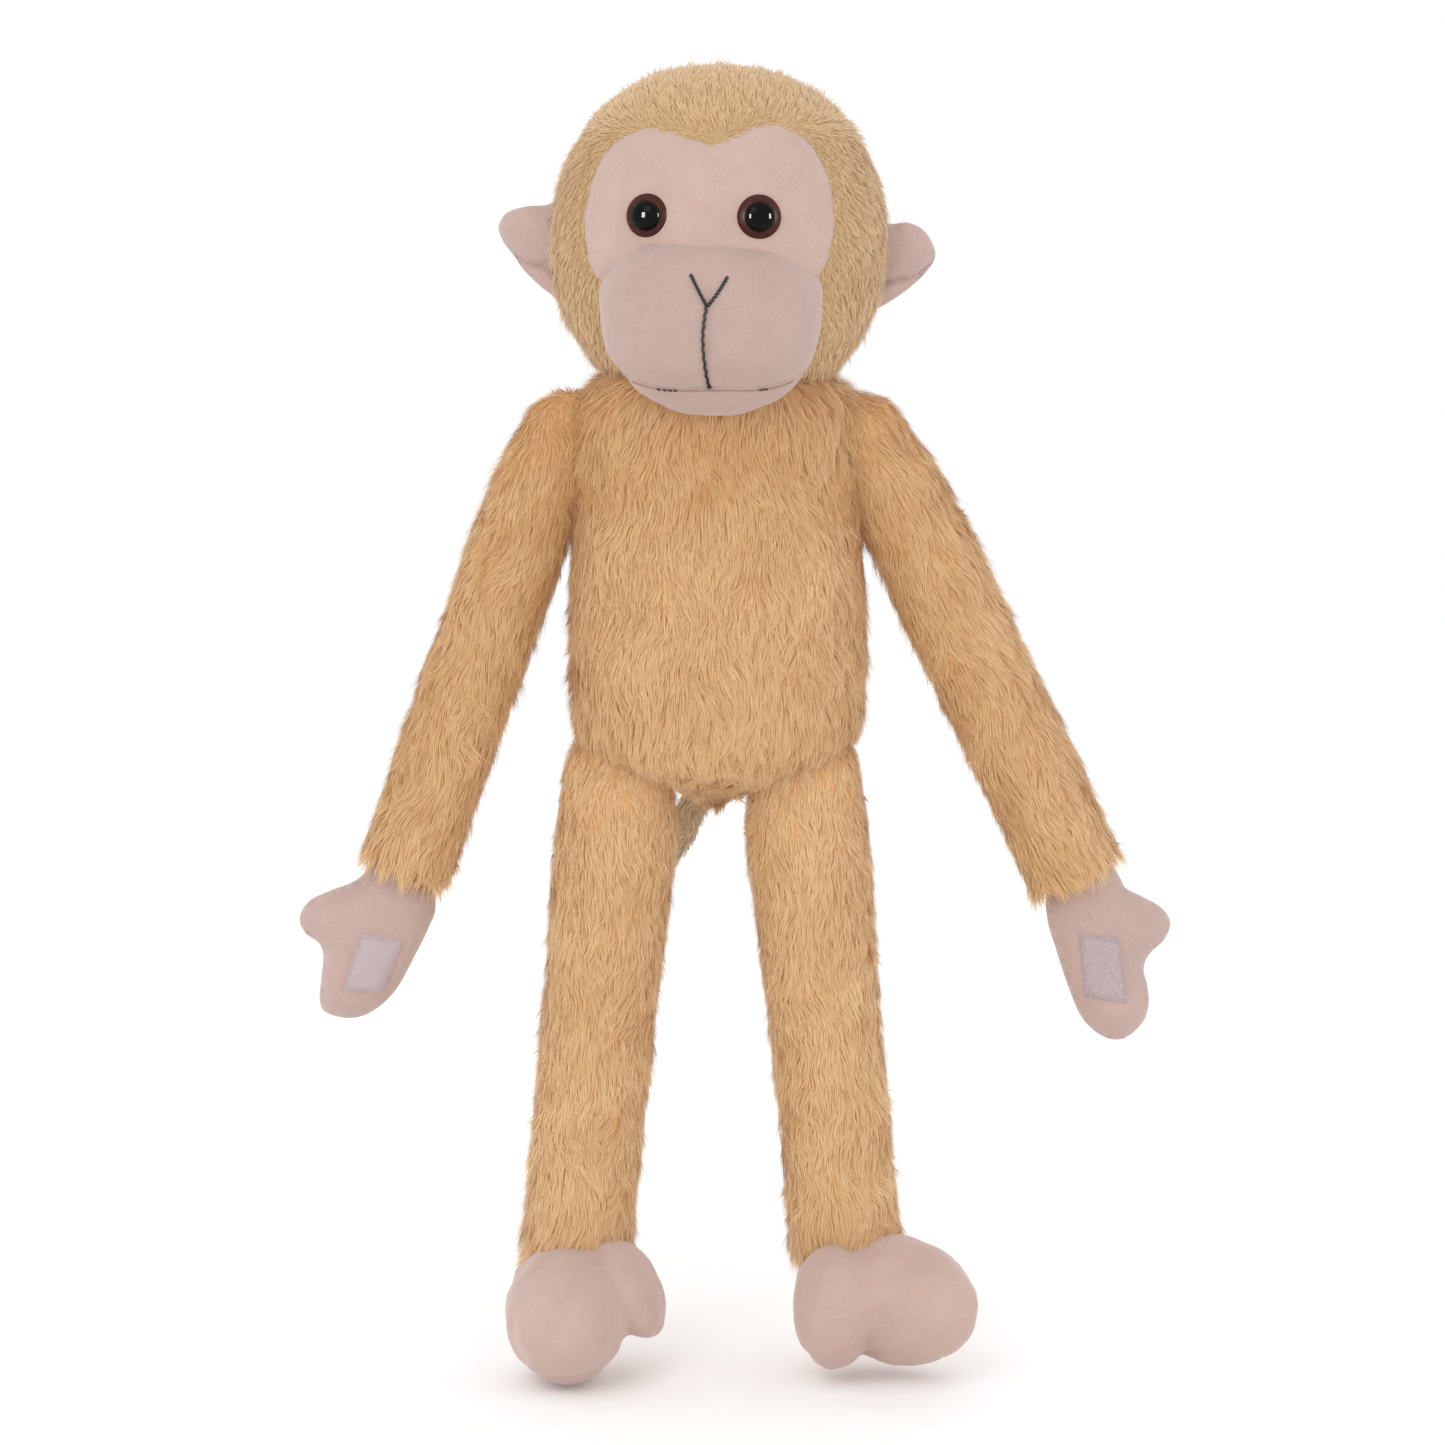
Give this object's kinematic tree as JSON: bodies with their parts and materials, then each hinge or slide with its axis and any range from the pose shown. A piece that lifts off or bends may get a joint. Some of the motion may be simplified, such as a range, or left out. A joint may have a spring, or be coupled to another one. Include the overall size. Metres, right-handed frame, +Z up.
{
  "type": "stuffed monkey",
  "caption": "Soft long-limbed plush monkey with combed fur, a pale velvety face, hands and feet, and hook-and-loop palms that fasten together.",
  "frame": {"origin": "on the surface it stands on, under the middle of its bounding box", "axes": "+Z up, the face looks along -Y, the monkey's left side is towards +X"},
  "size_m": [0.3588, 0.2188, 0.545],
  "materials": {
    "body_fur": "long combed pile",
    "head_fur": "short dense pile",
    "tail_fur": "pile",
    "velboa": "short soft pile",
    "filling": "loose fibre",
    "eye": "gloss",
    "washer": "matte",
    "black_thread": "matte",
    "tan_thread": "matte",
    "hook_and_loop": "matte"
  },
  "bodies": {
    "torso": {"torso_cover": "body_fur", "torso_stuffing": "filling"},
    "neck": {"neck_seam": "tan_thread"},
    "head": {"head_cover": "head_fur", "face_panel": "velboa", "muzzle_panel": "velboa", "chin_panel": "velboa", "head_stuffing": "filling", "left_ear": "velboa", "right_ear": "velboa", "left_eye": "eye", "right_eye": "eye", "left_eye_washer": "washer", "right_eye_washer": "washer", "nose_stitching": "black_thread", "mouth_stitching": "black_thread"},
    "tail": {"tail_cover": "tail_fur", "tail_stuffing": "filling"},
    "right_shoulder": {"right_shoulder_seam": "tan_thread"},
    "right_upper_arm": {"right_upper_arm_cover": "body_fur", "right_upper_arm_stuffing": "filling"},
    "right_forearm": {"right_forearm_cover": "body_fur", "right_forearm_stuffing": "filling"},
    "right_hand": {"right_hand_cover": "velboa", "right_hand_stuffing": "filling", "right_palm_patch": "hook_and_loop"},
    "right_hip": {"right_hip_seam": "tan_thread"},
    "right_thigh": {"right_thigh_cover": "body_fur", "right_thigh_stuffing": "filling"},
    "right_shin": {"right_shin_cover": "body_fur", "right_shin_stuffing": "filling"},
    "right_foot": {"right_foot_cover": "velboa", "right_sole": "velboa", "right_foot_stuffing": "filling"},
    "left_shoulder": {"left_shoulder_seam": "tan_thread"},
    "left_upper_arm": {"left_upper_arm_cover": "body_fur", "left_upper_arm_stuffing": "filling"},
    "left_forearm": {"left_forearm_cover": "body_fur", "left_forearm_stuffing": "filling"},
    "left_hand": {"left_hand_cover": "velboa", "left_hand_stuffing": "filling", "left_palm_patch": "hook_and_loop"},
    "left_hip": {"left_hip_seam": "tan_thread"},
    "left_thigh": {"left_thigh_cover": "body_fur", "left_thigh_stuffing": "filling"},
    "left_shin": {"left_shin_cover": "body_fur", "left_shin_stuffing": "filling"},
    "left_foot": {"left_foot_cover": "velboa", "left_sole": "velboa", "left_foot_stuffing": "filling"}
  },
  "joints": [
    {"name": "neck_turn", "type": "hinge", "parent": "torso", "child": "neck", "pos_m": [-0.00817, -0.02356, 0.4105], "axis": [0, 0, 1], "range_deg": [-40, 40]},
    {"name": "neck_nod", "type": "hinge", "parent": "neck", "child": "head", "pos_m": [-0.00817, -0.02356, 0.4105], "axis": [1, 0, 0], "range_deg": [-10, 5]},
    {"name": "right_shoulder_swing", "type": "hinge", "parent": "torso", "child": "right_shoulder", "pos_m": [-0.07167, -0.02356, 0.393], "axis": [-1, 0, 0], "range_deg": [-45, 130]},
    {"name": "right_shoulder_raise", "type": "hinge", "parent": "right_shoulder", "child": "right_upper_arm", "pos_m": [-0.07167, -0.02356, 0.393], "axis": [0, 1, 0], "range_deg": [0, 100]},
    {"name": "right_elbow", "type": "hinge", "parent": "right_upper_arm", "child": "right_forearm", "pos_m": [-0.10502, -0.02356, 0.30085], "axis": [-0.9403, 0, 0.3404], "range_deg": [-30, 90]},
    {"name": "right_wrist", "type": "hinge", "parent": "right_forearm", "child": "right_hand", "pos_m": [-0.13838, -0.02356, 0.2087], "axis": [-0.9252, 0, 0.3795], "range_deg": [-30, 30]},
    {"name": "right_hip_swing", "type": "hinge", "parent": "torso", "child": "right_hip", "pos_m": [-0.04917, -0.02356, 0.229], "axis": [-1, 0, 0], "range_deg": [-12, 95]},
    {"name": "right_hip_spread", "type": "hinge", "parent": "right_hip", "child": "right_thigh", "pos_m": [-0.04917, -0.02356, 0.229], "axis": [0, 1, 0], "range_deg": [0, 30]},
    {"name": "right_knee", "type": "hinge", "parent": "right_thigh", "child": "right_shin", "pos_m": [-0.05739, -0.02356, 0.14038], "axis": [0.9957, 0, -0.0924], "range_deg": [-20, 90]},
    {"name": "right_ankle", "type": "hinge", "parent": "right_shin", "child": "right_foot", "pos_m": [-0.06561, -0.02356, 0.05176], "axis": [-1, 0, 0], "range_deg": [-10, 8]},
    {"name": "left_shoulder_swing", "type": "hinge", "parent": "torso", "child": "left_shoulder", "pos_m": [0.05683, -0.02356, 0.393], "axis": [-1, 0, 0], "range_deg": [-45, 130]},
    {"name": "left_shoulder_raise", "type": "hinge", "parent": "left_shoulder", "child": "left_upper_arm", "pos_m": [0.05683, -0.02356, 0.393], "axis": [0, -1, 0], "range_deg": [0, 100]},
    {"name": "left_elbow", "type": "hinge", "parent": "left_upper_arm", "child": "left_forearm", "pos_m": [0.09881, -0.02356, 0.30004], "axis": [-0.9114, 0, -0.4115], "range_deg": [-30, 90]},
    {"name": "left_wrist", "type": "hinge", "parent": "left_forearm", "child": "left_hand", "pos_m": [0.14078, -0.02356, 0.20707], "axis": [-0.9767, 0, -0.2147], "range_deg": [-30, 30]},
    {"name": "left_hip_swing", "type": "hinge", "parent": "torso", "child": "left_hip", "pos_m": [0.02983, -0.02356, 0.229], "axis": [-1, 0, 0], "range_deg": [-12, 95]},
    {"name": "left_hip_spread", "type": "hinge", "parent": "left_hip", "child": "left_thigh", "pos_m": [0.02983, -0.02356, 0.229], "axis": [0, -1, 0], "range_deg": [0, 30]},
    {"name": "left_knee", "type": "hinge", "parent": "left_thigh", "child": "left_shin", "pos_m": [0.03805, -0.02356, 0.14038], "axis": [0.9957, 0, 0.0924], "range_deg": [-20, 90]},
    {"name": "left_ankle", "type": "hinge", "parent": "left_shin", "child": "left_foot", "pos_m": [0.04627, -0.02356, 0.05176], "axis": [-1, 0, 0], "range_deg": [-10, 8]},
    {"name": "tail_lift", "type": "hinge", "parent": "torso", "child": "tail", "pos_m": [-0.00817, 0.01544, 0.249], "axis": [1, 0, 0], "range_deg": [0, 70]}
  ]
}
